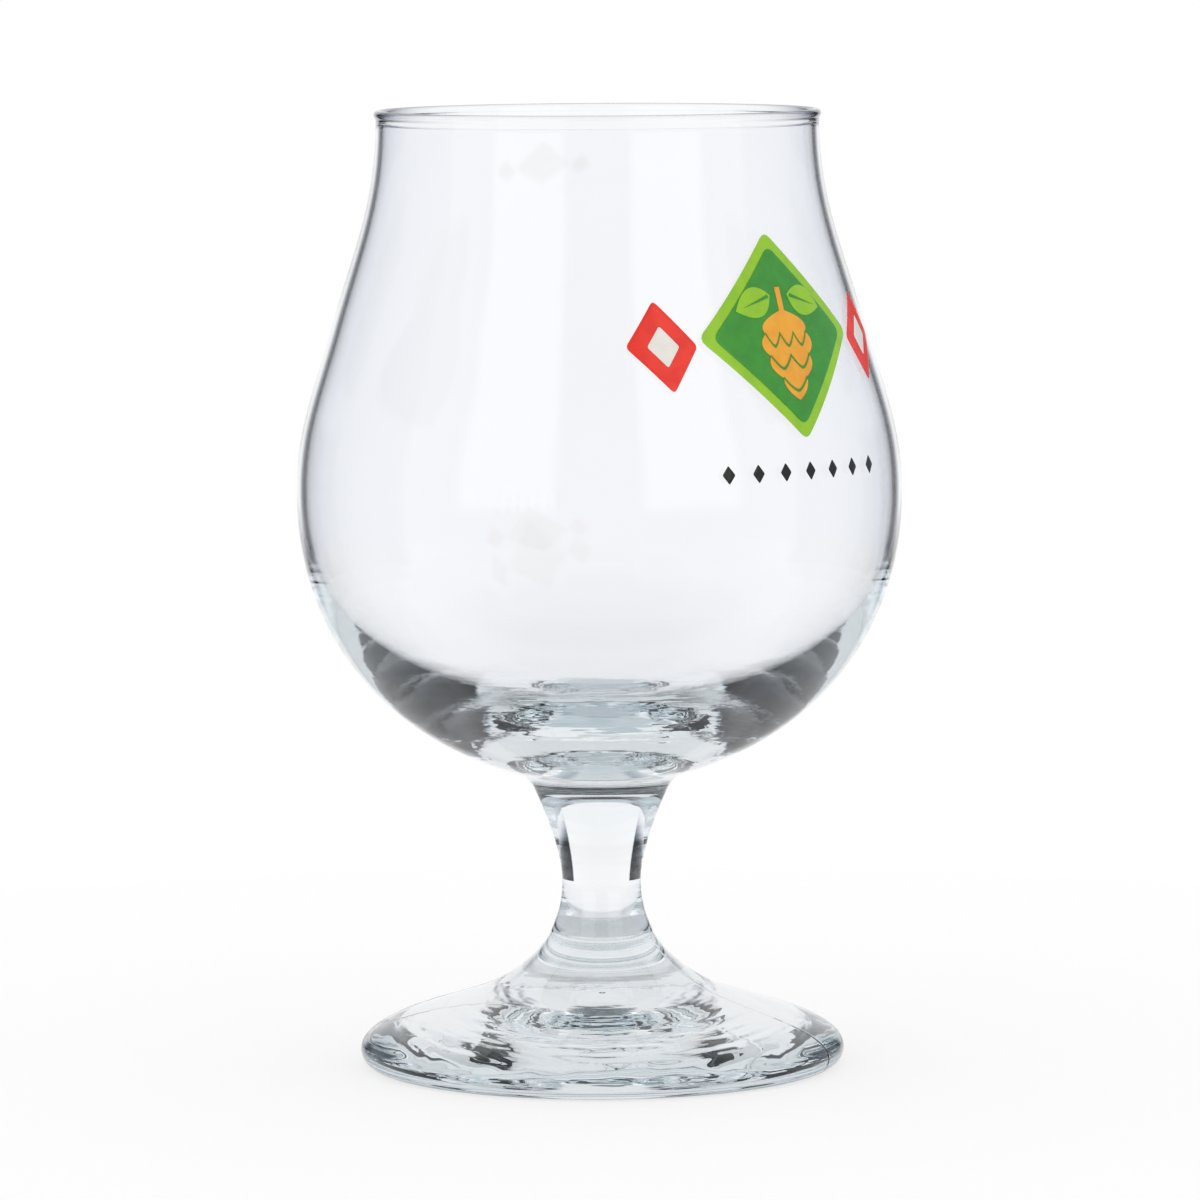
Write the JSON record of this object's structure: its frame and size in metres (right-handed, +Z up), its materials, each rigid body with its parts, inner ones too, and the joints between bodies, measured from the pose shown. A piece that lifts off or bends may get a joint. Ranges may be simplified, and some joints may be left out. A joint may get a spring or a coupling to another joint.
{
  "type": "beer goblet",
  "caption": "Stemmed tulip-shaped beer goblet of clear glass with a beaded lip, thick heel, short waisted stem, round domed foot and a small enamel print on one side.",
  "frame": {"origin": "on the table, under the middle of the foot, where the axis of the glass meets the plane of the standing ring", "axes": "+Z up the axis of the glass, towards the lip; -Y towards the front of the glass; +X to the right, the side that carries the enamel print"},
  "size_m": [0.0914, 0.0914, 0.145],
  "materials": {
    "glass": "clear, fire-polished",
    "light_green_enamel": "fired gloss enamel",
    "dark_green_enamel": "fired gloss enamel",
    "gold_enamel": "fired gloss enamel",
    "red_enamel": "fired gloss enamel",
    "white_enamel": "fired gloss enamel",
    "black_enamel": "fired gloss enamel"
  },
  "bodies": {
    "root": {"bowl": "glass", "stem": "glass", "foot": "glass", "enamel_lozenge": "light_green_enamel", "enamel_field": "dark_green_enamel", "enamel_hop_cone": "gold_enamel", "enamel_leaf_left": "light_green_enamel", "enamel_leaf_right": "light_green_enamel", "enamel_diamond_left": "red_enamel", "enamel_diamond_right": "red_enamel", "enamel_spark_left": "white_enamel", "enamel_spark_right": "white_enamel", "enamel_bead_1": "black_enamel", "enamel_bead_2": "black_enamel", "enamel_bead_3": "black_enamel", "enamel_bead_4": "black_enamel", "enamel_bead_5": "black_enamel", "enamel_bead_6": "black_enamel", "enamel_bead_7": "black_enamel"}
  },
  "joints": []
}
